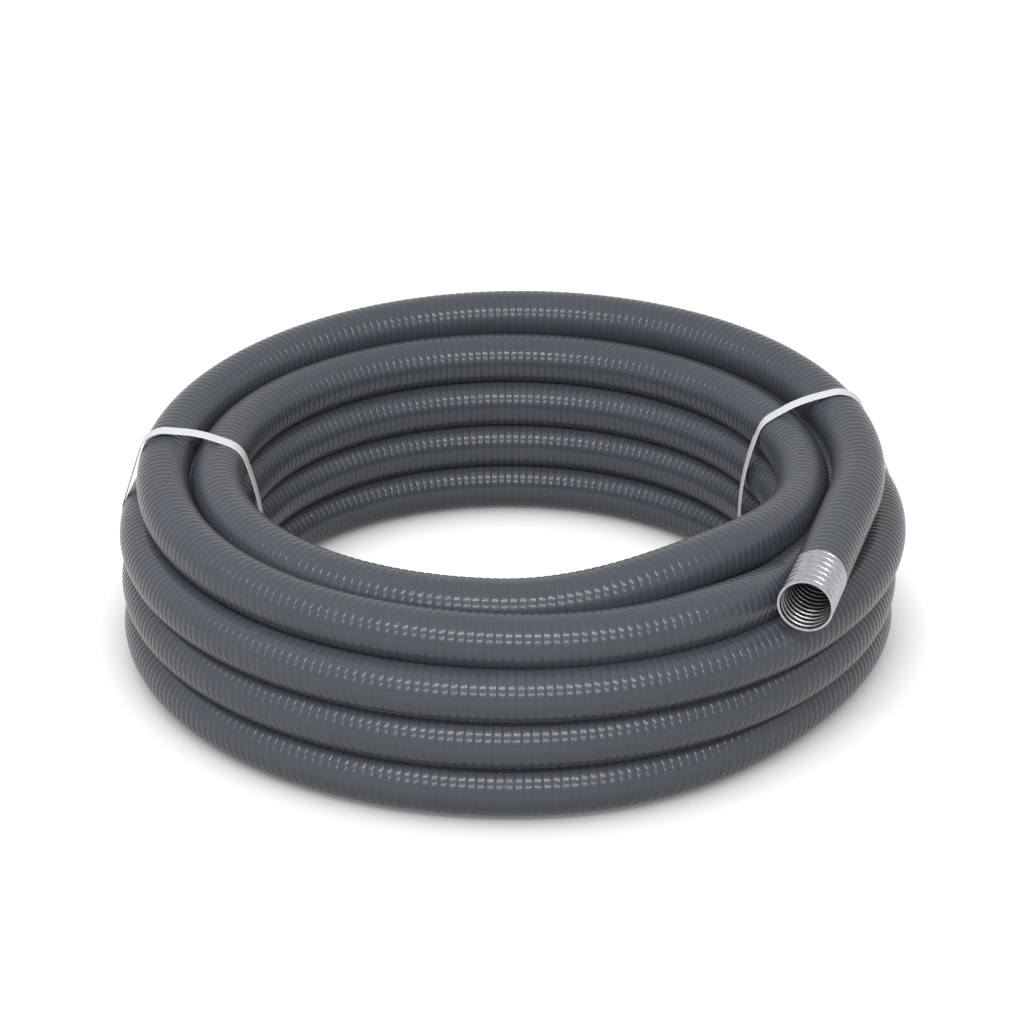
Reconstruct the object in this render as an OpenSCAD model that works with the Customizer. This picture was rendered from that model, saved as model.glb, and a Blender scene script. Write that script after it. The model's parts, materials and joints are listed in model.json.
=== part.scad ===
// Coil of PVC-coated flexible metal conduit, tied with two flat straps.
// The coil lies flat on z = 0, centred on the z axis. Its free end leaves
// the top turn at the +x side and points nearly along -y. Millimetres.

/* [Conduit] */
// Outside diameter over the coating
jacket_od = 33; // [25:0.5:42]
// Thickness of the coating over the steel
jacket_wall = 0.7; // [0.5:0.1:1.5]
// Radial play between the steel and the coating
core_clearance = 0.1; // [0.05:0.05:0.2]

/* [Steel core] */
// Length of steel that stands bare past the coating
bare_len = 40; // [15:1:60]
// Length of steel lining seen down the mouth, inside the coating
lining_len = 70; // [40:1:74]
// Spacing of the ridges along the steel, rounded to a whole number of ridges
ridge_pitch = 6; // [4:0.1:8]
// Height of a ridge over its groove
ridge_height = 1.2; // [0.8:0.1:2.2]
// Thickness of the steel strip
strip_wall = 0.6; // [0.4:0.1:0.9]
// Amount by which the cut rim is splayed outwards
rim_flare = 0.6; // [0:0.1:0.7]

/* [Coil] */
// Radius of the lower outer turns, to the middle of the conduit
outer_turn_r = 230; // [210:1:260]
// Radius of the lower inner turns, to the middle of the conduit
inner_turn_r = 180; // [165:1:190]
// How far the top outer turn lies inside the lower outer turns
top_outer_inset = 12; // [6:0.5:14]
// Clear gap between the two top turns
top_turn_gap = 1; // [0.8:0.1:3]
// Clear gap between the top outer turn and the turn that it lies on
top_seat_gap = 0.4; // [0.3:0.1:2]
// Number of lower layers under the top turns
lower_layers = 3; // [2:1:5]
// How far the ribs of one layer sink into the next
layer_nest = 2.4; // [1:0.1:3]
// How far the top outer turn rises from its lowest to its highest side
top_rise = 18; // [4:1:24]

/* [Free end] */
// Where the free end leaves the top outer turn, in degrees
leave_angle = 4.5; // [0:0.5:10]
// Length of coated conduit that runs straight at the free end
tail_len = 90; // [76:1:120]
// Clear gap between the free end and the top outer turn, where that goes out of sight under it
tuck_gap = 2; // [1:0.5:10]

/* [Straps] */
// Width of a strap
strap_w = 9; // [6:0.5:16]
// Thickness of a strap
strap_t = 0.8; // [0.5:0.1:1.2]
// Play between a strap and the turns that it holds
strap_clearance = 0.3; // [0.2:0.05:0.5]
// Place of the strap near the free end, in degrees
near_strap_angle = 38; // [25:1:60]
// Place of the strap on the far side, in degrees
far_strap_angle = 199; // [180:1:230]

/* [Hidden] */
$fn = 96;

jacket_r = jacket_od / 2;
core_r = jacket_r - jacket_wall - core_clearance;
core_groove_r = core_r - ridge_height;

layer_pitch = jacket_od - layer_nest;
top_outer_r = outer_turn_r - top_outer_inset;
top_inner_r = top_outer_r - jacket_od - top_turn_gap;
top_z = layer_z(lower_layers);
top_tilt = asin(top_rise / (2 * top_outer_r));

// At its lowest side the top outer turn is seated on the outer turn under it.
top_seat = sqrt(pow(jacket_od + top_seat_gap, 2) - pow(top_outer_inset, 2));
top_lift = top_seat - layer_pitch;

// How far round the top outer turn goes before it would touch the free end.
turn_sweep = 360 - acos(1 - (jacket_od + tuck_gap) / top_outer_r);

// A ridge has four equal stretches: crest, slope, groove, slope.
core_len = lining_len + bare_len;
core_start = tail_len - lining_len;
ridge_count = round(core_len / ridge_pitch);
ridge_step = core_len / ridge_count / 4;

jacket_colour = [0.25, 0.27, 0.30];
steel_colour = [0.80, 0.82, 0.84];
strap_colour = [0.93, 0.93, 0.92];

// Height of the middle of a layer, counted from 0. The coil lies on its straps.
function layer_z(layer) = strap_clearance + strap_t + jacket_r + layer * layer_pitch;

// Height of the top outer turn over the top inner one, at an angle round the coil.
function rise_at(angle) = top_lift + top_rise / 2 * (1 + sin(angle));

// Middles of all turns in the section cut at an angle: radius and height.
function section_at(angle) = concat(
    [for (layer = [0 : lower_layers - 1], r = [outer_turn_r, inner_turn_r]) [r, layer_z(layer)]],
    [[top_inner_r, top_z], [top_outer_r, top_z + rise_at(angle)]]
);

// Outline of the steel along its length, at an outer or an inner wall.
function ridge_line(inset) = [
    for (i = [0 : ridge_count - 1], step = [0 : 3])
        [(step < 2 ? core_r : core_groove_r) - inset, (4 * i + step) * ridge_step]
];

// Puts a shape in the leaning plane of the top outer turn, which it leaves at the local x axis.
module in_top_plane() {
    translate([0, 0, top_z + top_lift + top_rise / 2])
        rotate([top_tilt, 0, 0])
            rotate([0, 0, leave_angle])
                children();
}

// Turns an axis from +z to the way that the free end points.
module along_free_end(start) {
    translate([top_outer_r, -start, 0])
        rotate([90, 0, 0])
            children();
}

// All turns but the last. A plain core fills the hidden space between the columns.
module closed_turns() {
    rotate_extrude() {
        for (layer = [0 : lower_layers - 1], r = [outer_turn_r, inner_turn_r])
            translate([r, layer_z(layer)])
                circle(jacket_r);
        translate([top_inner_r, top_z])
            circle(jacket_r);
        translate([inner_turn_r, layer_z(0)])
            square([outer_turn_r - inner_turn_r, (lower_layers - 1) * layer_pitch]);
    }
}

// The last turn lies on the others and leads into the free end.
module top_outer_turn() {
    rotate_extrude(angle = turn_sweep)
        translate([top_outer_r, 0])
            circle(jacket_r);
    along_free_end(0)
        cylinder(r = jacket_r, h = tail_len);
}

module pvc_jacket() {
    color(jacket_colour)
        difference() {
            union() {
                closed_turns();
                in_top_plane()
                    top_outer_turn();
            }
            in_top_plane()
                along_free_end(core_start)
                    cylinder(r = core_r + core_clearance, h = core_len);
        }
}

module steel_core() {
    outer_line = ridge_line(0);
    inner_line = ridge_line(strip_wall);
    rim = [
        [core_r + rim_flare, core_len],
        [core_r + rim_flare - strip_wall, core_len]
    ];
    reversed_inner = [for (i = [len(inner_line) - 1 : -1 : 0]) inner_line[i]];
    color(steel_colour)
        in_top_plane()
            along_free_end(core_start)
                rotate_extrude()
                    polygon(concat(outer_line, rim, reversed_inner));
}

// A band pulled tight round all the turns at one place of the coil.
module strap_at(angle) {
    rotate([0, 0, angle])
        translate([0, strap_w / 2, 0])
            rotate([90, 0, 0])
                linear_extrude(strap_w)
                    difference() {
                        strap_outline(angle, strap_clearance + strap_t);
                        strap_outline(angle, strap_clearance);
                    }
}

module strap_outline(angle, grow) {
    hull()
        for (middle = section_at(angle))
            translate(middle)
                circle(jacket_r + grow, $fn = 64);
}

module near_strap() {
    color(strap_colour)
        strap_at(near_strap_angle);
}

module far_strap() {
    color(strap_colour)
        strap_at(far_strap_angle);
}

pvc_jacket();
steel_core();
near_strap();
far_strap();
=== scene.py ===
"""Coil of PVC-coated flexible metal conduit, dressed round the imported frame.

Lengths are in metres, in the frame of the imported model: the coil lies on z = 0,
its axis is +z, and its free end leaves the top turn at +x and points nearly along -y.
"""
import json
import logging
import math
from dataclasses import dataclass
from enum import Enum
from typing import Any, Sequence

import bmesh
import bpy
from mathutils import Matrix, Quaternion, Vector

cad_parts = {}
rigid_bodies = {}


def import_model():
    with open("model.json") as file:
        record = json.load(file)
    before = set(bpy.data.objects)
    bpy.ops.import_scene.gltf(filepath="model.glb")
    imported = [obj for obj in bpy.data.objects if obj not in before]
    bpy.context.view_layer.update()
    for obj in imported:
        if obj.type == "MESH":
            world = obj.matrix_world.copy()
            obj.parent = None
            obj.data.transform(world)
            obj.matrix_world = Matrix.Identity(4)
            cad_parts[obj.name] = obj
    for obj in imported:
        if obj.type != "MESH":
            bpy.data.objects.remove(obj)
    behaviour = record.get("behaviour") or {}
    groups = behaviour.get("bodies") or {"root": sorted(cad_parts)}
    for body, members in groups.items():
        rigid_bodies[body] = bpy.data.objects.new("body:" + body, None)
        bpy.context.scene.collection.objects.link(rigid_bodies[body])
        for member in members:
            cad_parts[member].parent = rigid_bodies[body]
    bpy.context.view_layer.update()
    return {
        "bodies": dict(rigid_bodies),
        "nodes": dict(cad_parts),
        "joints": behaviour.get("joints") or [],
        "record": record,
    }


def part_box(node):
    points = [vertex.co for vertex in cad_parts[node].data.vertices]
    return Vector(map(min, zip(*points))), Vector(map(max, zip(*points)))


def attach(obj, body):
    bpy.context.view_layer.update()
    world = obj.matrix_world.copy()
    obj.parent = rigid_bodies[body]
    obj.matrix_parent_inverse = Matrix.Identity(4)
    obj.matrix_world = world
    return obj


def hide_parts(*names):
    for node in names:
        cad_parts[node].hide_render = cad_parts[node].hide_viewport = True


log = logging.getLogger("conduit_coil")

MM = 0.001
BODY = "root"
GROOVE_MASK = "rib_groove"
# Mask of where the steel keeps its own colour; where it is 0, in the lining's hollows, the steel takes
# painted shade.
UNSHADED_MASK = "unshaded_steel"
ROW_MERGE_REACH = 0.01 * MM
DOUBLES_REACH = 0.02 * MM
LEAST_SHIFT = 1e-9
Colour = tuple[float, float, float]


class Slot(Enum):
    """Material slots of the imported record."""

    COATING = "coating"
    STEEL = "steel"
    STRAP = "strap"


class Node(Enum):
    """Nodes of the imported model."""

    JACKET = "pvc_jacket"
    CORE = "steel_core"
    NEAR_STRAP = "near_strap"
    FAR_STRAP = "far_strap"


# Shader maths


class Wire:
    """A shader value that can be used in Python expressions."""

    def __init__(self, sheet: "ShaderSheet", socket: bpy.types.NodeSocket) -> None:
        """Keeps the socket and the sheet that it belongs to."""
        self.sheet = sheet
        self.socket = socket

    def _math(self, operation: str, first: Any, second: Any) -> "Wire":
        """Adds one Math node.

        Args:
            operation: the Math node's operation.
            first: a wire or a number.
            second: a wire or a number.

        Returns:
            The node's result.
        """
        node = self.sheet.add("ShaderNodeMath", {"operation": operation}, {0: first, 1: second})
        return Wire(self.sheet, node.outputs[0])

    def __add__(self, other: Any) -> "Wire":
        """Sum of two values."""
        return self._math("ADD", self, other)

    def __radd__(self, other: Any) -> "Wire":
        """Sum, with the wire on the right."""
        return self._math("ADD", other, self)

    def __sub__(self, other: Any) -> "Wire":
        """Difference of two values."""
        return self._math("SUBTRACT", self, other)

    def __rsub__(self, other: Any) -> "Wire":
        """Difference, with the wire on the right."""
        return self._math("SUBTRACT", other, self)

    def __mul__(self, other: Any) -> "Wire":
        """Product of two values."""
        return self._math("MULTIPLY", self, other)

    def larger(self, other: Any) -> "Wire":
        """The larger of two values."""
        return self._math("MAXIMUM", self, other)


class ShaderSheet:
    """A node tree that is filled by method calls."""

    def __init__(self, tree: bpy.types.NodeTree) -> None:
        """Empties the tree and keeps it."""
        self.tree = tree
        tree.nodes.clear()

    def add(self, kind: str, settings: dict[str, Any], inputs: dict[Any, Any]) -> bpy.types.Node:
        """Adds one node.

        Args:
            kind: the node's type.
            settings: attributes of the node, set first.
            inputs: values or wires for the node's input sockets.

        Returns:
            The new node.
        """
        node = self.tree.nodes.new(kind)
        for name, value in settings.items():
            setattr(node, name, value)
        for key, value in inputs.items():
            if isinstance(value, Wire):
                self.tree.links.new(value.socket, node.inputs[key])
            else:
                node.inputs[key].default_value = value
        return node

    def wire(self, kind: str, settings: dict[str, Any], inputs: dict[Any, Any], output: Any = 0) -> Wire:
        """Adds one node and returns one of its outputs.

        Args:
            kind: the node's type.
            settings: attributes of the node.
            inputs: values or wires for its input sockets.
            output: the name or the number of the output.

        Returns:
            The output as a wire.
        """
        return Wire(self, self.add(kind, settings, inputs).outputs[output])

    def blend(self, share: Any, first: Any, second: Any) -> Wire:
        """Mixes two colours.

        Args:
            share: how much of the second colour shows.
            first: a colour or a wire.
            second: a colour or a wire.

        Returns:
            The mixed colour.
        """
        inputs = {0: share, 6: _rgba(first), 7: _rgba(second)}
        return self.wire("ShaderNodeMix", {"data_type": "RGBA"}, inputs, 2)

    def noise(self, place: Wire, size: float, detail: float) -> Wire:
        """Cloudy noise from 0 to 1, whose patches are about as large as size in metres."""
        inputs = {"Vector": place, "Scale": 1 / size, "Detail": detail}
        return self.wire("ShaderNodeTexNoise", {}, inputs, 0)

    def bump(self, height: Wire, depth: float) -> Wire:
        """A normal that follows a height from 0 to 1, depth metres high."""
        inputs = {"Height": height, "Distance": depth, "Strength": 1.0}
        return self.wire("ShaderNodeBump", {}, inputs, 0)


def _rgba(colour: Any) -> Any:
    """Gives a plain colour its alpha, and leaves a wire as it is."""
    return colour if isinstance(colour, Wire) else (*colour, 1.0)


def scaled(colour: Colour, factor: float) -> Colour:
    """A colour that is lighter or darker by a factor."""
    return tuple(channel * factor for channel in colour)


# Finishes


@dataclass(frozen=True)
class CoatingFinish:
    """Satin grey PVC, faintly clouded, and a little duller down in the grooves between the ribs."""

    colour: Colour = (0.060, 0.067, 0.079)
    cloud_size: float = 60 * MM
    cloud_detail: float = 3.0
    cloud_shade: float = 0.88
    cloud_light: float = 1.06
    roughness: float = 0.2
    groove_roughness: float = 0.05
    specular: float = 0.32
    smear_size: float = 14 * MM
    smear_detail: float = 4.0
    smear_roughness: float = 0.1
    skin_size: float = 1.1 * MM
    skin_detail: float = 2.0
    skin_depth: float = 0.03 * MM

    def build(self) -> bpy.types.Material:
        """Makes the material."""
        material, sheet, shader = new_material("pvc_coating")
        place = sheet.wire("ShaderNodeTexCoord", {}, {}, "Object")
        groove = sheet.wire("ShaderNodeAttribute", {"attribute_name": GROOVE_MASK}, {}, "Fac")
        cloud = sheet.noise(place, self.cloud_size, self.cloud_detail)
        smear = sheet.noise(place, self.smear_size, self.smear_detail)
        skin = sheet.noise(place, self.skin_size, self.skin_detail)
        dark, light = scaled(self.colour, self.cloud_shade), scaled(self.colour, self.cloud_light)
        tint = sheet.blend(groove, sheet.blend(cloud, dark, light), self.colour)
        dull = self.roughness + groove * self.groove_roughness + (smear - 0.5) * self.smear_roughness
        feed(sheet, shader, {
            "Base Color": tint,
            "Roughness": dull,
            "Specular IOR Level": self.specular,
            "Normal": sheet.bump(skin, self.skin_depth),
        })
        return material


@dataclass(frozen=True)
class SteelFinish:
    """Galvanised strip with faint spangle; down in the hollows of the lining it is duller, and darker by
    painted shade that stands in for the shade inside the tube.
    """

    colour: Colour = (0.50, 0.51, 0.53)
    dull_colour: Colour = (0.28, 0.29, 0.31)
    # Painted shade: the dark colour of the lining's hollows, standing in for the shade inside the tube.
    hollow_painted_shade: Colour = (0.17, 0.175, 0.185)
    roughness: float = 0.22
    hollow_roughness: float = 0.3
    spangle_size: float = 3.5 * MM
    spangle_detail: float = 2.0
    spangle_roughness: float = 0.16
    line_size: float = 2.0 * MM
    line_detail: float = 3.0
    line_depth: float = 0.02 * MM

    def build(self) -> bpy.types.Material:
        """Makes the material."""
        material, sheet, shader = new_material("galvanised_steel")
        place = sheet.wire("ShaderNodeTexCoord", {}, {}, "Object")
        unshaded = sheet.wire("ShaderNodeAttribute", {"attribute_name": UNSHADED_MASK}, {}, "Fac")
        spangle = sheet.noise(place, self.spangle_size, self.spangle_detail)
        lines = sheet.noise(place, self.line_size, self.line_detail)
        strip = sheet.blend(spangle, self.dull_colour, self.colour)
        dull = self.roughness + (spangle - 0.5) * self.spangle_roughness
        feed(sheet, shader, {
            # Painted shade: where the mask falls to 0, in the lining's hollows, the steel takes the dark
            # hollow colour.
            "Base Color": sheet.blend(unshaded, self.hollow_painted_shade, strip),
            "Roughness": dull + (1 - unshaded) * self.hollow_roughness,
            "Normal": sheet.bump(lines, self.line_depth),
            "Metallic": 1.0,
        })
        return material


@dataclass(frozen=True)
class StrapFinish:
    """White polypropylene band with a fine embossed grain."""

    colour: Colour = (0.74, 0.745, 0.755)
    soiled_colour: Colour = (0.65, 0.655, 0.665)
    roughness: float = 0.38
    grain_size: float = 1.6 * MM
    grain_depth: float = 0.12 * MM
    grain_spread: float = 0.35
    grain_roughness: float = 0.12
    soil_size: float = 18 * MM
    soil_detail: float = 3.0
    soil_share: float = 0.6

    def build(self) -> bpy.types.Material:
        """Makes the material."""
        material, sheet, shader = new_material("strap_plastic")
        place = sheet.wire("ShaderNodeTexCoord", {}, {}, "Object")
        soil = sheet.noise(place, self.soil_size, self.soil_detail)
        cells = {"Vector": place, "Scale": 1 / self.grain_size, "Randomness": self.grain_spread}
        grain = sheet.wire("ShaderNodeTexVoronoi", {}, cells, "Distance")
        feed(sheet, shader, {
            "Base Color": sheet.blend(soil * self.soil_share, self.colour, self.soiled_colour),
            "Roughness": self.roughness + grain * self.grain_roughness,
            "Normal": sheet.bump(grain, self.grain_depth),
        })
        return material


@dataclass(frozen=True)
class FloorFinish:
    """White studio floor: a grey paint that takes the coil's shadow, plus a glow seen only directly that
    fades to plain white far off; near the coil the glow is weaker and dimmed by ambient occlusion, a painted
    shadow.
    """

    colour: Colour = (0.32, 0.32, 0.32)
    # Glow close to the coil, lower than far off: painted shade round the coil.
    near_lift: float = 0.8
    far_lift: float = 1.0
    near: float = 0.26
    far: float = 0.6
    contact_reach: float = 32 * MM
    contact_samples: int = 8

    def build(self) -> bpy.types.Material:
        """Makes the material."""
        material = bpy.data.materials.new("studio_floor")
        material.use_nodes = True
        sheet = ShaderSheet(material.node_tree)
        place = sheet.wire("ShaderNodeTexCoord", {}, {}, "Object")
        away = sheet.wire("ShaderNodeVectorMath", {"operation": "LENGTH"}, {0: place}, "Value")
        # Painted shade: the glow is weaker close to the coil, so the floor darkens towards it.
        lift = sheet.wire("ShaderNodeMapRange", {}, {
            "Value": away,
            "From Min": self.near,
            "From Max": self.far,
            "To Min": self.near_lift,
            "To Max": self.far_lift,
        })
        # Painted shadow: ambient occlusion dims the glow where the floor meets the coil.
        reach = {"Distance": self.contact_reach}
        clear = sheet.wire("ShaderNodeAmbientOcclusion", {"samples": self.contact_samples}, reach, "AO")
        paint = sheet.wire("ShaderNodeBsdfDiffuse", {}, {"Color": (*self.colour, 1.0)})
        glow = sheet.wire("ShaderNodeEmission", {}, {"Strength": seen_directly(sheet) * lift * clear})
        both = sheet.wire("ShaderNodeAddShader", {}, {0: paint, 1: glow})
        sheet.add("ShaderNodeOutputMaterial", {}, {"Surface": both})
        return material


def new_material(name: str) -> tuple[bpy.types.Material, ShaderSheet, bpy.types.Node]:
    """Starts a material with one Principled shader.

    Args:
        name: the material's name.

    Returns:
        The material, its sheet and the shader.
    """
    material = bpy.data.materials.new(name)
    material.use_nodes = True
    sheet = ShaderSheet(material.node_tree)
    shader = sheet.add("ShaderNodeBsdfPrincipled", {}, {})
    sheet.add("ShaderNodeOutputMaterial", {}, {"Surface": Wire(sheet, shader.outputs[0])})
    return material, sheet, shader


def feed(sheet: ShaderSheet, shader: bpy.types.Node, inputs: dict[str, Any]) -> None:
    """Sets or links inputs of a shader that is already on the sheet."""
    for name, value in inputs.items():
        if isinstance(value, Wire):
            sheet.tree.links.new(value.socket, shader.inputs[name])
        else:
            shader.inputs[name].default_value = value


def seen_directly(sheet: ShaderSheet) -> Wire:
    """1 where the camera sees a surface itself, in a mirror or through glass, else 0."""
    path = sheet.add("ShaderNodeLightPath", {}, {})
    camera = Wire(sheet, path.outputs["Is Camera Ray"])
    mirror = Wire(sheet, path.outputs["Is Glossy Ray"])
    glass = Wire(sheet, path.outputs["Is Transmission Ray"])
    return camera.larger(mirror).larger(glass)


# Modelling by hand


def clear_selection() -> None:
    """Leaves edit mode and deselects every object."""
    if bpy.context.object and bpy.context.object.mode != "OBJECT":
        bpy.ops.object.mode_set(mode="OBJECT")
    bpy.ops.object.select_all(action="DESELECT")


def take(piece: bpy.types.Object) -> None:
    """Makes one object the only one that operators act on."""
    clear_selection()
    piece.select_set(True)
    bpy.context.view_layer.objects.active = piece


def select_ring(piece: bpy.types.Object, height: float, reach: float) -> None:
    """Selects, in edit mode, the points that lie at one height along z.

    Args:
        piece: the mesh object in edit mode.
        height: the height to look for.
        reach: how far a point may lie from it.
    """
    bpy.ops.mesh.select_all(action="DESELECT")
    work = bmesh.from_edit_mesh(piece.data)
    for point in work.verts:
        point.select_set(abs(point.co.z - height) < reach)
    work.select_flush(True)
    bmesh.update_edit_mesh(piece.data)


def widen(factor: float) -> None:
    """Scales what is selected about the z axis, in x and y."""
    bpy.ops.transform.resize(value=(factor, factor, 1.0), center_override=(0.0, 0.0, 0.0))


def open_tube(name: str, radius: float, length: float, sides: int, rings: int) -> bpy.types.Object:
    """Adds an open cylinder along +z from z = 0, cut into rings, and enters edit mode.

    Args:
        name: the object's name.
        radius: its radius.
        length: its length.
        sides: number of sides.
        rings: number of cuts across it, besides its two ends.

    Returns:
        The new object, in edit mode.
    """
    clear_selection()
    bpy.ops.mesh.primitive_cylinder_add(
        vertices=sides, radius=radius, depth=length, end_fill_type="NOTHING", location=(0, 0, length / 2)
    )
    tube = bpy.context.object
    tube.name = name
    tube.data.name = name
    bpy.ops.object.transform_apply(location=True, rotation=True, scale=True)
    bpy.ops.object.mode_set(mode="EDIT")
    bpy.ops.mesh.select_all(action="DESELECT")
    work = bmesh.from_edit_mesh(tube.data)
    for edge in work.edges:
        first, second = edge.verts
        edge.select_set(abs(first.co.z - second.co.z) > length / 2)
    bmesh.update_edit_mesh(tube.data)
    bpy.ops.mesh.subdivide(number_cuts=rings)
    return tube


def shape_rings(tube: bpy.types.Object, length: float, profile: Sequence[tuple[float, float]]) -> None:
    """Gives each ring of an open tube its own radius and place.

    Args:
        tube: the tube in edit mode, with evenly spaced rings.
        length: its length.
        profile: for each ring, from z = 0 up, its factor of the radius and its share of the length.
    """
    steps = len(profile) - 1
    for number, (factor, share) in enumerate(profile):
        select_ring(tube, length * number / steps, length / steps / 4)
        widen(factor)
        shift = length * (share - number / steps)
        if abs(shift) > LEAST_SHIFT:
            bpy.ops.transform.translate(value=(0.0, 0.0, shift))


def repeat_along_z(piece: bpy.types.Object, count: int, step: float) -> None:
    """Repeats a mesh along +z with its seams merged.

    Args:
        piece: the mesh object.
        count: how many there are in all.
        step: distance from one to the next.
    """
    take(piece)
    row = piece.modifiers.new("row", "ARRAY")
    row.count = count
    row.use_relative_offset = False
    row.use_constant_offset = True
    row.constant_offset_displace = (0.0, 0.0, step)
    row.use_merge_vertices = True
    row.merge_threshold = ROW_MERGE_REACH
    bpy.ops.object.modifier_apply(modifier=row.name)


def close_and_smooth(piece: bpy.types.Object, angle_deg: float) -> None:
    """Merges doubles, turns faces outwards and shades smooth below an angle."""
    take(piece)
    bpy.ops.object.mode_set(mode="EDIT")
    bpy.ops.mesh.select_all(action="SELECT")
    bpy.ops.mesh.remove_doubles(threshold=DOUBLES_REACH)
    bpy.ops.mesh.normals_make_consistent(inside=False)
    bpy.ops.object.mode_set(mode="OBJECT")
    bpy.ops.object.shade_smooth_by_angle(angle=math.radians(angle_deg))


def dress(piece: bpy.types.Object, material: bpy.types.Material, slot: Slot, *nodes: Node) -> None:
    """Gives a finished piece its material and body, and hides the nodes that it stands for.

    Args:
        piece: the finished piece.
        material: its only material.
        slot: not used.
        nodes: the nodes that it replaces.
    """
    piece.data.materials.clear()
    piece.data.materials.append(material)
    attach(piece, BODY)
    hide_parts(*[node.value for node in nodes])
    log.info("%s: %d faces, finish %s", piece.name, len(piece.data.polygons), material.name)


# The coil


def smooth_step(share: float) -> float:
    """Eases from 0 to 1, level at both ends."""
    held = min(max(share, 0.0), 1.0)
    return held * held * (3 - 2 * held)


@dataclass(frozen=True)
class Stray:
    """How far a turn leaves its circle, eased off to both sides of the place where it is most."""

    outward: float = 0.0
    upward: float = 0.0
    middle_deg: float = 0.0
    half_deg: float = 60.0

    def share(self, angle_deg: float) -> float:
        """1 where the turn strays most, 0 where it keeps to its circle."""
        away = abs((angle_deg - self.middle_deg + 180.0) % 360.0 - 180.0)
        return 1 - smooth_step(away / self.half_deg)


@dataclass(frozen=True)
class CoilLayout:
    """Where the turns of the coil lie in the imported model, and how they stray from there."""

    jacket_r: float
    lowest_z: float
    outer_turn_r: float
    tail_len: float
    tail_axis: Vector
    tail_middle: Vector
    inner_turn_r: float = 180 * MM
    top_outer_r: float = 218 * MM
    top_inner_r: float = 184 * MM
    layer_pitch: float = 30.6 * MM
    lower_layers: int = 3
    outer_strays: tuple[Stray, ...] = (
        Stray(outward=-10 * MM, middle_deg=-16.0, half_deg=46.0),
        Stray(outward=-3 * MM, middle_deg=-18.0, half_deg=58.0),
        Stray(outward=7 * MM, middle_deg=48.0, half_deg=62.0),
    )
    top_inner_stray: Stray = Stray(outward=-3 * MM, upward=8 * MM, middle_deg=-28.0, half_deg=42.0)
    top_outer_stray: Stray = Stray(upward=-4.5 * MM, middle_deg=-42.0, half_deg=50.0)

    @classmethod
    def from_frame(cls, frame: dict[str, Any]) -> "CoilLayout":
        """Reads the conduit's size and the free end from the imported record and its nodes.


        Returns:
            The layout.
        """
        end = frame["record"]["mounts"][0]
        jacket_r = end["dims"]["r_mm"] * MM
        low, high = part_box(Node.JACKET.value)
        return cls(
            jacket_r=jacket_r,
            lowest_z=low[2] + jacket_r,
            outer_turn_r=high[0] - jacket_r,
            tail_len=end["dims"]["length_mm"] * MM,
            tail_axis=Vector(end["axis"]).normalized(),
            tail_middle=Vector(end["pos_m"]),
        )

    @property
    def tail_root(self) -> Vector:
        """Where the top turn becomes the straight free end."""
        return self.tail_middle - self.tail_axis * (self.tail_len / 2)

    @property
    def tail_tip(self) -> Vector:
        """Middle of the coating's cut edge."""
        return self.tail_middle + self.tail_axis * (self.tail_len / 2)

    @property
    def lean(self) -> float:
        """Angle by which the plane of the top outer turn leans up towards +y."""
        return math.atan2(-self.tail_axis.z, -self.tail_axis.y)

    @property
    def leave_deg(self) -> float:
        """Where the free end leaves the top outer turn."""
        return math.degrees(math.atan2(self.tail_root.y / math.cos(self.lean), self.tail_root.x))

    def layer_z(self, layer: int) -> float:
        """Height of the middle of a layer, counted from 0."""
        return self.lowest_z + layer * self.layer_pitch

    def section(self, angle_deg: float) -> list[Vector]:
        """Middles of all turns in the section cut at an angle, as radius and height."""
        middles = []
        for layer, stray in enumerate(self.outer_strays):
            outer_r = self.outer_turn_r + stray.outward * stray.share(angle_deg)
            middles.extend(Vector((r, self.layer_z(layer))) for r in (outer_r, self.inner_turn_r))
        top = self.on_top_turn(self.top_outer_r, angle_deg)
        middles.append(Vector((self.top_inner_r, self.layer_z(self.lower_layers))))
        middles.append(Vector((top.xy.length, top.z)))
        return middles

    def on_top_turn(self, radius: float, angle_deg: float) -> Vector:
        """A point in the leaning plane of the top outer turn."""
        angle = math.radians(angle_deg)
        y = radius * math.sin(angle) * math.cos(self.lean)
        middle_z = self.tail_root.z - self.tail_root.y * math.tan(self.lean)
        return Vector((radius * math.cos(angle), y, middle_z + y * math.tan(self.lean)))


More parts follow.
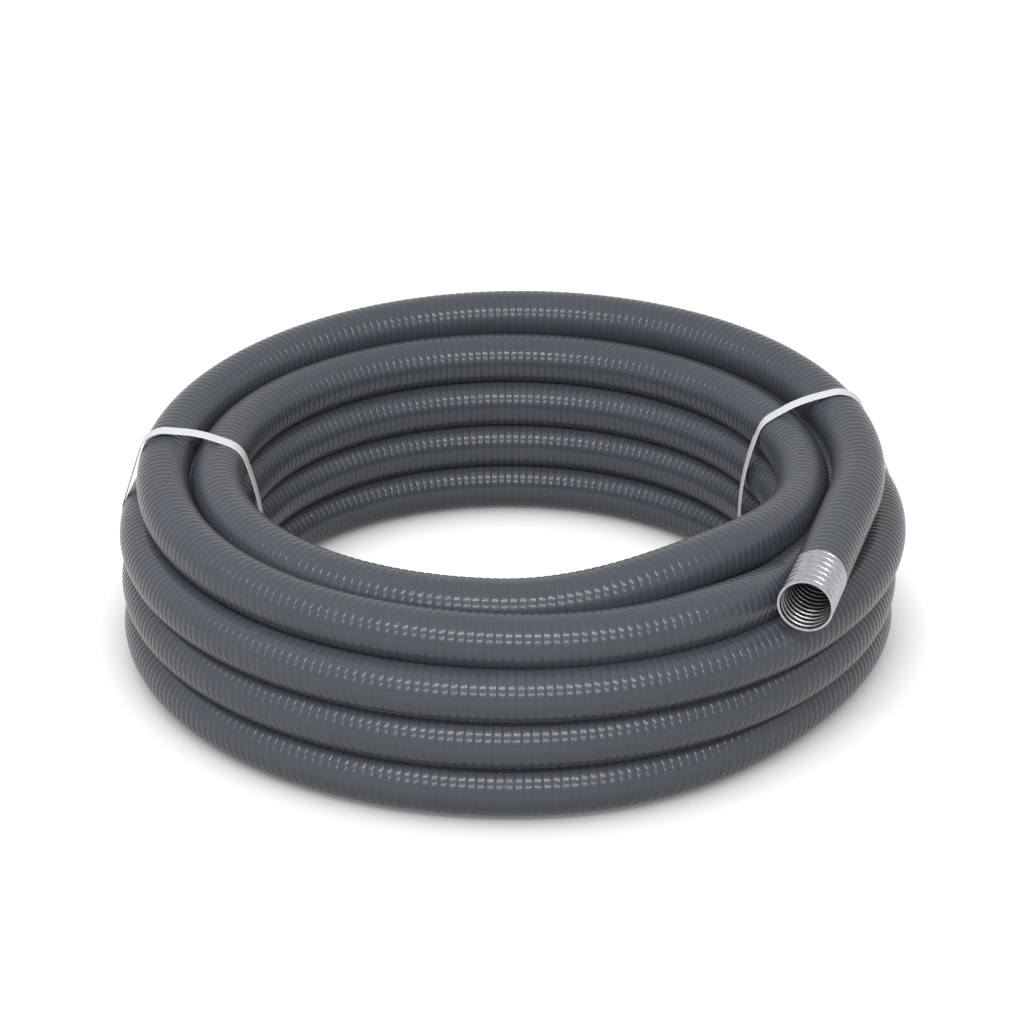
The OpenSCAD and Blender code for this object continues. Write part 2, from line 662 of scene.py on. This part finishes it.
@dataclass
class ConduitTurn:
    """One turn of ribbed conduit, modelled straight and then bent along its path.

    The groove's profile gives, from its bottom up, the depth as a share of the whole depth and
    the place as a share of the pitch.
    """

    name: str
    jacket_r: float
    path: list[Vector]
    closed: bool
    socket_depth: float = 0.0
    socket_r: float = 0.0
    rib_pitch: float = 5.2 * MM
    rib_depth: float = 0.49 * MM
    groove_profile: tuple[tuple[float, float], ...] = ((1.0, 0.0), (0.4, 0.09), (0.1, 0.22))
    groove_half: float = 0.2
    pick_reach: float = 0.26 * MM
    smooth_deg: float = 60.0
    sides: int = 24

    def build(self, material: bpy.types.Material) -> bpy.types.Object:
        """Makes the finished turn.

        Args:
            material: the coating's finish.

        Returns:
            The turn as one mesh.
        """
        route = self._lay_route()
        length = route.data.splines[0].calc_length()
        count = round(length / self.rib_pitch)
        step = length / count
        turn = self._model_rib(step)
        repeat_along_z(turn, count, step)
        if not self.closed:
            self._finish_ends(turn, length)
        self._bend(turn, route)
        close_and_smooth(turn, self.smooth_deg)
        dress(turn, material, Slot.COATING, Node.JACKET)
        return turn

    def _lay_route(self) -> bpy.types.Object:
        """Makes the path as a curve object."""
        line = bpy.data.curves.new(self.name + "_route", "CURVE")
        line.dimensions = "3D"
        line.twist_mode = "Z_UP"
        spline = line.splines.new("POLY")
        spline.points.add(len(self.path) - 1)
        for point, place in zip(spline.points, self.path):
            point.co = (*place, 1.0)
        spline.use_cyclic_u = self.closed
        route = bpy.data.objects.new(line.name, line)
        bpy.context.scene.collection.objects.link(route)
        bpy.context.view_layer.update()
        return route

    def _model_rib(self, step: float) -> bpy.types.Object:
        """Models one rib, from the bottom of one groove to the next.

        Args:
            step: spacing of the ribs.

        Returns:
            The rib, with its groove mask as an attribute.
        """
        rise = self.rib_depth / self.jacket_r
        half = [(1 - depth * rise, share) for depth, share in self.groove_profile]
        profile = [*half, (1.0, 0.5), *[(factor, 1 - share) for factor, share in reversed(half)]]
        rib = open_tube(self.name, self.jacket_r, step, self.sides, len(profile) - 2)
        shape_rings(rib, step, profile)
        bpy.ops.object.mode_set(mode="OBJECT")
        mask = rib.data.attributes.new(GROOVE_MASK, "FLOAT", "POINT")
        for point, level in zip(rib.data.vertices, mask.data):
            from_crest = abs(point.co.z / step - 0.5)
            level.value = max(0.0, (from_crest - (0.5 - self.groove_half)) / self.groove_half)
        return rib

    def _finish_ends(self, turn: bpy.types.Object, length: float) -> None:
        """Closes the hidden end, and turns the cut end into a socket for the steel.

        Args:
            turn: the straight tube.
            length: its length.
        """
        take(turn)
        bpy.ops.object.mode_set(mode="EDIT")
        select_ring(turn, 0.0, self.pick_reach)
        bpy.ops.mesh.edge_face_add()
        select_ring(turn, length, self.pick_reach)
        bpy.ops.mesh.extrude_region_move()
        widen(self.socket_r / (self.jacket_r - self.rib_depth))
        bpy.ops.mesh.extrude_region_move(TRANSFORM_OT_translate={"value": (0.0, 0.0, -self.socket_depth)})
        bpy.ops.mesh.edge_face_add()
        bpy.ops.object.mode_set(mode="OBJECT")

    def _bend(self, turn: bpy.types.Object, route: bpy.types.Object) -> None:
        """Bends the straight tube along its route and deletes the route."""
        take(turn)
        bend = turn.modifiers.new("bend", "CURVE")
        bend.object = route
        bend.deform_axis = "POS_Z"
        bpy.ops.object.modifier_apply(modifier=bend.name)
        bpy.data.objects.remove(route, do_unlink=True)


@dataclass
class Coil:
    """All turns of the conduit."""

    layout: CoilLayout
    finish: CoatingFinish
    path_points: int = 360
    tail_points: int = 20
    tuck_from_deg: float = -40.0
    tuck_to_deg: float = 6.0
    tuck_inset: float = 24 * MM
    tuck_drop: float = 33 * MM
    sag: float = 2.4 * MM
    sag_from_deg: float = -150.0
    sag_to_deg: float = -250.0
    inner_lift: float = 0.7 * MM
    inner_rise: float = 0.8 * MM
    inner_rise_deg: float = -68.4
    hidden_drop: float = 13 * MM
    hidden_rise: float = 4.5 * MM
    socket_depth: float = 60 * MM
    socket_play: float = 0.75 * MM

    def build(self) -> list[bpy.types.Object]:
        """Makes all turns.

        Returns:
            The turns, from the bottom up.
        """
        material = self.finish.build()
        layout = self.layout
        turns = []
        for layer in range(layout.lower_layers):
            height = layout.layer_z(layer)
            stray = layout.outer_strays[layer]
            turns.append(self._ring(f"outer_turn_{layer + 1}", layout.outer_turn_r, height, stray))
            turns.append(self._ring(f"inner_turn_{layer + 1}", layout.inner_turn_r, height, Stray()))
        top_z = layout.layer_z(layout.lower_layers)
        middle_r = (layout.outer_turn_r + layout.inner_turn_r) / 2
        turns.append(self._ring("hidden_turn", middle_r, top_z - self.hidden_drop, Stray(), self.hidden_rise))
        turns.append(self._ring(
            "inner_turn_top",
            layout.top_inner_r,
            top_z + self.inner_lift,
            layout.top_inner_stray,
            self.inner_rise,
            self.inner_rise_deg,
        ))
        turns.append(self._top_turn())
        return [turn.build(material) for turn in turns]

    def _ring(
        self,
        name: str,
        radius: float,
        height: float,
        stray: Stray,
        rise: float = 0.0,
        rise_deg: float = 90.0,
    ) -> ConduitTurn:
        """A closed turn, level or leaning, that may leave its circle at one place.

        Args:
            name: the piece's name.
            radius: radius to the middle of the conduit.
            height: mean height of that middle.
            stray: how it leaves its circle.
            rise: how far the turn's highest side is over the mean.
            rise_deg: where that side is.

        Returns:
            The turn.
        """
        path = []
        for i in range(self.path_points):
            angle = 2 * math.pi * i / self.path_points
            share = stray.share(math.degrees(angle))
            r = radius + stray.outward * share
            z = height + stray.upward * share + rise * math.cos(angle - math.radians(rise_deg))
            path.append(Vector((r * math.cos(angle), r * math.sin(angle), z)))
        return ConduitTurn(name, self.layout.jacket_r, path, closed=True)

    def _top_turn(self) -> ConduitTurn:
        """The leaning top turn, from its tucked start to the cut edge of the coating."""
        layout = self.layout
        path = []
        last_deg = layout.leave_deg - 360.0
        for i in range(self.path_points):
            angle_deg = self.tuck_to_deg + (last_deg - self.tuck_to_deg) * i / (self.path_points - 1)
            sunk = smooth_step((angle_deg - self.tuck_from_deg) / (self.tuck_to_deg - self.tuck_from_deg))
            sagged = 1 - smooth_step((angle_deg - self.sag_from_deg) / (self.sag_to_deg - self.sag_from_deg))
            point = layout.on_top_turn(layout.top_outer_r - self.tuck_inset * sunk, angle_deg)
            point.z -= self.tuck_drop * sunk + self.sag * sagged
            point.z += layout.top_outer_stray.upward * layout.top_outer_stray.share(angle_deg)
            path.append(point)
        for i in range(1, self.tail_points + 1):
            path.append(layout.tail_root.lerp(layout.tail_tip, i / self.tail_points))
        return ConduitTurn(
            "outer_turn_top",
            layout.jacket_r,
            path,
            closed=False,
            socket_depth=self.socket_depth,
            socket_r=layout.jacket_r - self.socket_play,
        )


# The steel end


@dataclass
class SteelEnd:
    """The bare end of the steel core, with low ridges outside and seams inside."""

    layout: CoilLayout
    finish: SteelFinish
    bare_len: float = 40 * MM
    lining_len: float = 58 * MM
    pitch: float = 6.0 * MM
    seam_pitch: float = 4.4 * MM
    ridge_place: float = 0.35
    ridge_width: float = 0.3
    ridge_rings: int = 20
    outer_land_r: float = 15.9 * MM
    outer_ridge: float = 0.7 * MM
    hidden_r: float = 15.5 * MM
    inner_land_r: float = 14.9 * MM
    inner_seam: float = 0.7 * MM
    rim_r: float = 16.6 * MM
    rim_wall: float = 0.7 * MM
    rim_len: float = 1.2 * MM
    pick_reach: float = 0.15 * MM
    smooth_deg: float = 50.0
    sides: int = 64

    def build(self) -> bpy.types.Object:
        """Makes the steel end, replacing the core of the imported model.

        Returns:
            The finished piece.
        """
        length = self.bare_len + self.lining_len
        outside = self._wall("steel_end", self.bare_len, self.pitch, self._outside_profile())
        inside = self._wall("steel_lining", length, self.seam_pitch, self._inside_profile())
        take(outside)
        outside.location.z = self.lining_len
        bpy.ops.object.transform_apply(location=True)
        inside.select_set(True)
        bpy.ops.object.join()
        self._close_ends(outside, length)
        self._mark_unshaded(outside)
        self._place(outside)
        close_and_smooth(outside, self.smooth_deg)
        dress(outside, self.finish.build(), Slot.STEEL, Node.CORE)
        return outside

    @property
    def between_r(self) -> float:
        """A radius between the outer and the inner wall, to tell them apart."""
        return (self.hidden_r + self.inner_land_r) / 2

    def _wall(
        self, name: str, length: float, pitch: float, profile: tuple[float, list[tuple[float, float]]]
    ) -> bpy.types.Object:
        """One wall of the sleeve, outer or inner.

        Args:
            name: the object's name.
            length: the wall's length.
            pitch: about how far one ridge is from the next.
            profile: the wall's radius, and the factor and place of each ring of one ridge.

        Returns:
            The wall as an open tube.
        """
        radius, rings = profile
        count = round(length / pitch)
        step = length / count
        wall = open_tube(name, radius, step, self.sides, len(rings) - 2)
        shape_rings(wall, step, rings)
        bpy.ops.object.mode_set(mode="OBJECT")
        repeat_along_z(wall, count, step)
        return wall

    def _outside_profile(self) -> tuple[float, list[tuple[float, float]]]:
        """A flat land with one low rounded ridge."""
        return self.outer_land_r, self._ridge(self.outer_ridge / self.outer_land_r)

    def _inside_profile(self) -> tuple[float, list[tuple[float, float]]]:
        """A hollow between two narrow seams."""
        return self.inner_land_r, self._ridge(-self.inner_seam / self.inner_land_r)

    def _ridge(self, rise: float) -> list[tuple[float, float]]:
        """Rings of one rounded ridge on a flat land.

        Args:
            rise: height of the ridge as a share of the land's radius.

        Returns:
            For each ring, its factor of the radius and its share of the pitch.
        """
        rings = []
        for i in range(self.ridge_rings + 1):
            share = i / self.ridge_rings
            away = min(abs(share - self.ridge_place) / self.ridge_width, 0.5)
            rings.append((1 + rise * math.cos(math.pi * away) ** 2, share))
        return rings

    def _close_ends(self, sleeve: bpy.types.Object, length: float) -> None:
        """Splays the rim, leads the outer wall into the coating and joins it to the inner wall.

        Args:
            sleeve: both walls in one mesh.
            length: the length of the inner wall.
        """
        bpy.ops.object.mode_set(mode="EDIT")
        for is_outer, radius in ((True, self.rim_r), (False, self.rim_r - self.rim_wall)):
            start = self.outer_land_r if is_outer else self.inner_land_r
            self._select_loop(sleeve, length, is_outer)
            bpy.ops.transform.translate(value=(0.0, 0.0, -self.rim_len))
            bpy.ops.mesh.extrude_region_move(TRANSFORM_OT_translate={"value": (0.0, 0.0, self.rim_len)})
            widen(radius / start)
        self._select_loop(sleeve, length, True)
        bpy.ops.mesh.extrude_region_move()
        widen(1 - self.rim_wall / self.rim_r)
        self._select_loop(sleeve, self.lining_len, True)
        bpy.ops.mesh.extrude_region_move()
        widen(self.hidden_r / self.outer_land_r)
        bpy.ops.mesh.extrude_region_move(TRANSFORM_OT_translate={"value": (0.0, 0.0, -self.lining_len)})
        bpy.ops.mesh.extrude_region_move()
        widen(self.inner_land_r / self.hidden_r)
        bpy.ops.object.mode_set(mode="OBJECT")

    def _mark_unshaded(self, sleeve: bpy.types.Object) -> None:
        """Marks the outer wall, the rim and the crests of the seams as unshaded, and the hollows of the
        lining for painted shade.
        """
        mask = sleeve.data.attributes.new(UNSHADED_MASK, "FLOAT", "POINT")
        for point, level in zip(sleeve.data.vertices, mask.data):
            radius = point.co.xy.length
            crest = (self.inner_land_r - radius) / self.inner_seam
            # 0 in the hollows, which take painted shade; towards the seam crests it rises back to the steel's
            # own colour.
            level.value = 1.0 if radius > self.between_r else max(crest, 0.0) ** 2

    def _select_loop(self, sleeve: bpy.types.Object, height: float, is_outer: bool) -> None:
        """Selects, in edit mode, the loop of one wall at one height."""
        bpy.ops.mesh.select_all(action="DESELECT")
        work = bmesh.from_edit_mesh(sleeve.data)
        for point in work.verts:
            at_height = abs(point.co.z - height) < self.pick_reach
            point.select_set(at_height and (point.co.xy.length > self.between_r) == is_outer)
        work.select_flush(True)
        bmesh.update_edit_mesh(sleeve.data)

    def _place(self, sleeve: bpy.types.Object) -> None:
        """Puts the sleeve, modelled along +z, into the free end."""
        start = self.layout.tail_tip - self.layout.tail_axis * self.lining_len
        turn = self.layout.tail_axis.to_track_quat("Z", "Y").to_matrix().to_4x4()
        take(sleeve)
        sleeve.matrix_world = Matrix.Translation(start) @ turn
        bpy.ops.object.transform_apply(location=True, rotation=True, scale=True)


# The straps


@dataclass
class TieStrap:
    """A flat band pulled round all turns, gently bowed where it spans from one to the next."""

    name: str
    node: Node
    angle_deg: float
    middles: list[Vector]
    reach: float
    material: bpy.types.Material
    twist_deg: float
    width: float = 9 * MM
    thickness: float = 0.8 * MM
    bow_deg: float = 17.0
    outer_hold: float = 0.6
    floor_hold: float = 0.9
    hold_ease: float = 0.8
    steps: int = 240
    smooth_deg: float = 40.0
    edge_round: float = 0.25 * MM
    edge_segments: int = 2
    edge_deg: float = 60.0

    def build(self) -> bpy.types.Object:
        """Makes the finished strap.

        Returns:
            The strap as one mesh.
        """
        strap = self._lay_band()
        take(strap)
        thicken = strap.modifiers.new("thicken", "SOLIDIFY")
        thicken.thickness = self.thickness
        thicken.offset = 0.0
        bpy.ops.object.modifier_apply(modifier=thicken.name)
        close_and_smooth(strap, self.smooth_deg)
        soften = strap.modifiers.new("soften", "BEVEL")
        soften.width = self.edge_round
        soften.segments = self.edge_segments
        soften.limit_method = "ANGLE"
        soften.angle_limit = math.radians(self.edge_deg)
        bpy.ops.object.modifier_apply(modifier=soften.name)
        dress(strap, self.material, Slot.STRAP, self.node)
        return strap

    @property
    def hub(self) -> Vector:
        """Middle of all turns in the section, as radius and height."""
        return sum(self.middles, Vector((0.0, 0.0))) / len(self.middles)

    def _lay_band(self) -> bpy.types.Object:
        """Makes the band without thickness, as a widened curve turned into a mesh."""
        line = bpy.data.curves.new(self.name, "CURVE")
        line.dimensions = "2D"
        line.extrude = self.width / 2
        spline = line.splines.new("POLY")
        outline = self._outline()
        spline.points.add(len(outline) - 1)
        for point, place in zip(spline.points, outline):
            point.co = (place.x, place.y, 0.0, 1.0)
        spline.use_cyclic_u = True
        line.fill_mode = "NONE"
        band = bpy.data.objects.new(self.name, line)
        bpy.context.scene.collection.objects.link(band)
        angle = math.radians(self.angle_deg)
        band.location = (self.hub.x * math.cos(angle), self.hub.x * math.sin(angle), self.hub.y)
        band.rotation_euler = (math.pi / 2, 0.0, angle + math.radians(self.twist_deg))
        take(band)
        bpy.ops.object.convert(target="MESH")
        bpy.ops.object.transform_apply(location=True, rotation=True, scale=True)
        return bpy.context.object

    def _outline(self) -> list[Vector]:
        """The band's line in its section plane: the hull of all turns, bowed at the top and inside.

        Returns:
            Points in the band's plane, from the hub.
        """
        turn = 2 * math.pi / self.steps
        spread = round(math.radians(self.bow_deg) / turn)
        stretch = Vector((1 / math.cos(math.radians(self.twist_deg)), 1.0))
        arms = [(middle - self.hub) * stretch for middle in self.middles]
        ways = [Vector((math.cos(turn * i), math.sin(turn * i))) for i in range(self.steps)]
        tight = [max(arm.dot(way) for arm in arms) for way in ways]
        bowed = []
        for i in range(self.steps):
            around = [tight[(i + k) % self.steps] for k in range(-spread, spread + 1)]
            slack = max(sum(around) / len(around) - tight[i], 0.0)
            bowed.append(tight[i] + slack * self._freedom(ways[i]) + self.reach)
        points = []
        for i, way in enumerate(ways):
            slope = (bowed[(i + 1) % self.steps] - bowed[i - 1]) / (2 * turn)
            points.append(way * bowed[i] + Vector((-way.y, way.x)) * slope)
        return points

    def _freedom(self, way: Vector) -> float:
        """How freely the band bows: 0 on the outside and at the floor, 1 inside and at the top."""
        inside = smooth_step((self.outer_hold - way.x) / self.hold_ease)
        above = smooth_step((way.y + self.floor_hold) / self.hold_ease)
        return inside * above


@dataclass
class Straps:
    """Both straps of the coil."""

    layout: CoilLayout
    finish: StrapFinish
    near_deg: float = 37.2
    near_twist_deg: float = -13.0
    far_deg: float = 199.0
    play: float = 0.7 * MM

    def build(self) -> list[bpy.types.Object]:
        """Makes both straps.

        Returns:
            The near and the far strap.
        """
        material = self.finish.build()
        near = self._strap("tie_strap_near", Node.NEAR_STRAP, self.near_deg, self.near_twist_deg, material)
        far = self._strap("tie_strap_far", Node.FAR_STRAP, self.far_deg, 0.0, material)
        return [near, far]

    def _strap(
        self, name: str, node: Node, angle_deg: float, twist_deg: float, material: bpy.types.Material
    ) -> bpy.types.Object:
        """Makes one strap at an angle round the coil, turned out of the radial plane by a twist."""
        reach = self.layout.jacket_r + self.play
        middles = self.layout.section(angle_deg)
        return TieStrap(name, node, angle_deg, middles, reach, material, twist_deg).build()


# The studio


def way_to(azimuth_deg: float, elevation_deg: float) -> Vector:
    """Direction from the coil to a place in the studio.

    Args:
        azimuth_deg: angle round the coil, from -y towards +x.
        elevation_deg: angle over the floor.

    Returns:
        The direction, of length 1.
    """
    turn, rise = math.radians(azimuth_deg), math.radians(elevation_deg)
    return Vector((math.sin(turn) * math.cos(rise), -math.cos(turn) * math.cos(rise), math.sin(rise)))


@dataclass(frozen=True)
class PhotoCamera:
    """A camera that stands where the photographer stood."""

    azimuth_deg: float = 21.6
    elevation_deg: float = 26.51
    roll_deg: float = 0.24
    distance: float = 1.98
    target_z: float = 66 * MM
    aim_up: float = 14.2 * MM
    aim_right: float = 1.15 * MM
    focal_px: float = 3107.0
    image_px: float = 1024.0
    sensor_mm: float = 36.0
    near_clip: float = 0.05

    def build(self) -> bpy.types.Object:
        """Makes the camera and sets it as the scene's own."""
        turn = math.radians(self.azimuth_deg)
        back = way_to(self.azimuth_deg, self.elevation_deg)
        right = Vector((math.cos(turn), math.sin(turn), 0.0))
        up = back.cross(right)
        target = Vector((0.0, 0.0, self.target_z))
        place = target + back * self.distance
        aim = target + up * self.aim_up + right * self.aim_right
        lens = bpy.data.cameras.new("photo_camera")
        lens.sensor_width = self.sensor_mm
        lens.lens = self.focal_px / self.image_px * self.sensor_mm
        lens.clip_start = self.near_clip
        camera = bpy.data.objects.new("photo_camera", lens)
        bpy.context.scene.collection.objects.link(camera)
        camera.location = place
        level = (aim - place).to_track_quat("-Z", "Y")
        camera.rotation_euler = (level @ Quaternion((0.0, 0.0, 1.0), math.radians(self.roll_deg))).to_euler()
        bpy.context.scene.camera = camera
        return camera


@dataclass(frozen=True)
class SoftBox:
    """A rectangular studio lamp, placed by its direction from the coil.

    Glossy surfaces show its mirror image unless is_mirrored is off; then it only lights them softly.
    """

    name: str
    azimuth_deg: float
    elevation_deg: float
    distance: float
    width: float
    height: float
    power: float
    is_mirrored: bool = True

    def build(self) -> bpy.types.Object:
        """Makes the lamp, turned towards the coil."""
        way = way_to(self.azimuth_deg, self.elevation_deg)
        data = bpy.data.lights.new(self.name, "AREA")
        data.shape = "RECTANGLE"
        data.size = self.width
        data.size_y = self.height
        data.energy = self.power
        lamp = bpy.data.objects.new(self.name, data)
        bpy.context.scene.collection.objects.link(lamp)
        lamp.location = way * self.distance
        lamp.rotation_euler = (-way).to_track_quat("-Z", "Y").to_euler()
        lamp.visible_glossy = self.is_mirrored
        return lamp


@dataclass
class Studio:
    """Floor, lamps, pale surroundings and camera."""

    camera: PhotoCamera
    floor: FloorFinish
    floor_half: float = 6.0
    floor_cuts: int = 8
    lamp_offset_deg: float = 1.0
    fill_offset_deg: float = -62.0
    sky_level: float = 0.31

    def build(self) -> None:
        """Makes the whole studio."""
        self.camera.build()
        for lamp in self._lamps():
            lamp.build()
        self._lay_floor()
        self._set_sky()
        bpy.context.scene.view_settings.view_transform = "Standard"

    def _lamps(self) -> list[SoftBox]:
        """The lamps, placed relative to the camera."""
        front = self.camera.azimuth_deg + self.lamp_offset_deg
        left = self.camera.azimuth_deg + self.fill_offset_deg
        strip = {"width": 2.3, "height": 0.1}
        wide = {"width": 2.6, "height": 2.6, "is_mirrored": False}
        return [
            SoftBox("upper_box", front, elevation_deg=51.0, distance=2.4, power=30.0, **strip),
            SoftBox("front_box", front, elevation_deg=27.0, distance=2.6, power=22.0, **strip),
            SoftBox("left_box", left, elevation_deg=62.0, distance=2.8, power=36.0, **wide),
        ]

    def _lay_floor(self) -> None:
        """Adds the floor."""
        clear_selection()
        bpy.ops.mesh.primitive_grid_add(
            x_subdivisions=self.floor_cuts, y_subdivisions=self.floor_cuts, size=2 * self.floor_half
        )
        floor = bpy.context.object
        floor.name = "studio_floor"
        floor.data.materials.append(self.floor.build())

    def _set_sky(self) -> None:
        """Sets plain white surroundings, dimmer as a lamp than as a background."""
        world = bpy.data.worlds.new("pale_studio")
        bpy.context.scene.world = world
        world.use_nodes = True
        sheet = ShaderSheet(world.node_tree)
        seen = seen_directly(sheet)
        level = seen + (1 - seen) * self.sky_level
        glow = sheet.wire("ShaderNodeBackground", {}, {"Color": (1.0, 1.0, 1.0, 1.0), "Strength": level})
        sheet.add("ShaderNodeOutputWorld", {}, {"Surface": glow})


def main() -> None:
    """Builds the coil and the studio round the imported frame."""
    logging.basicConfig(level=logging.INFO, format="%(name)s: %(message)s")
    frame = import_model()
    layout = CoilLayout.from_frame(frame)
    Studio(PhotoCamera(), FloorFinish()).build()
    Coil(layout, CoatingFinish()).build()
    SteelEnd(layout, SteelFinish()).build()
    Straps(layout, StrapFinish()).build()


if __name__ == "__main__":
    main()
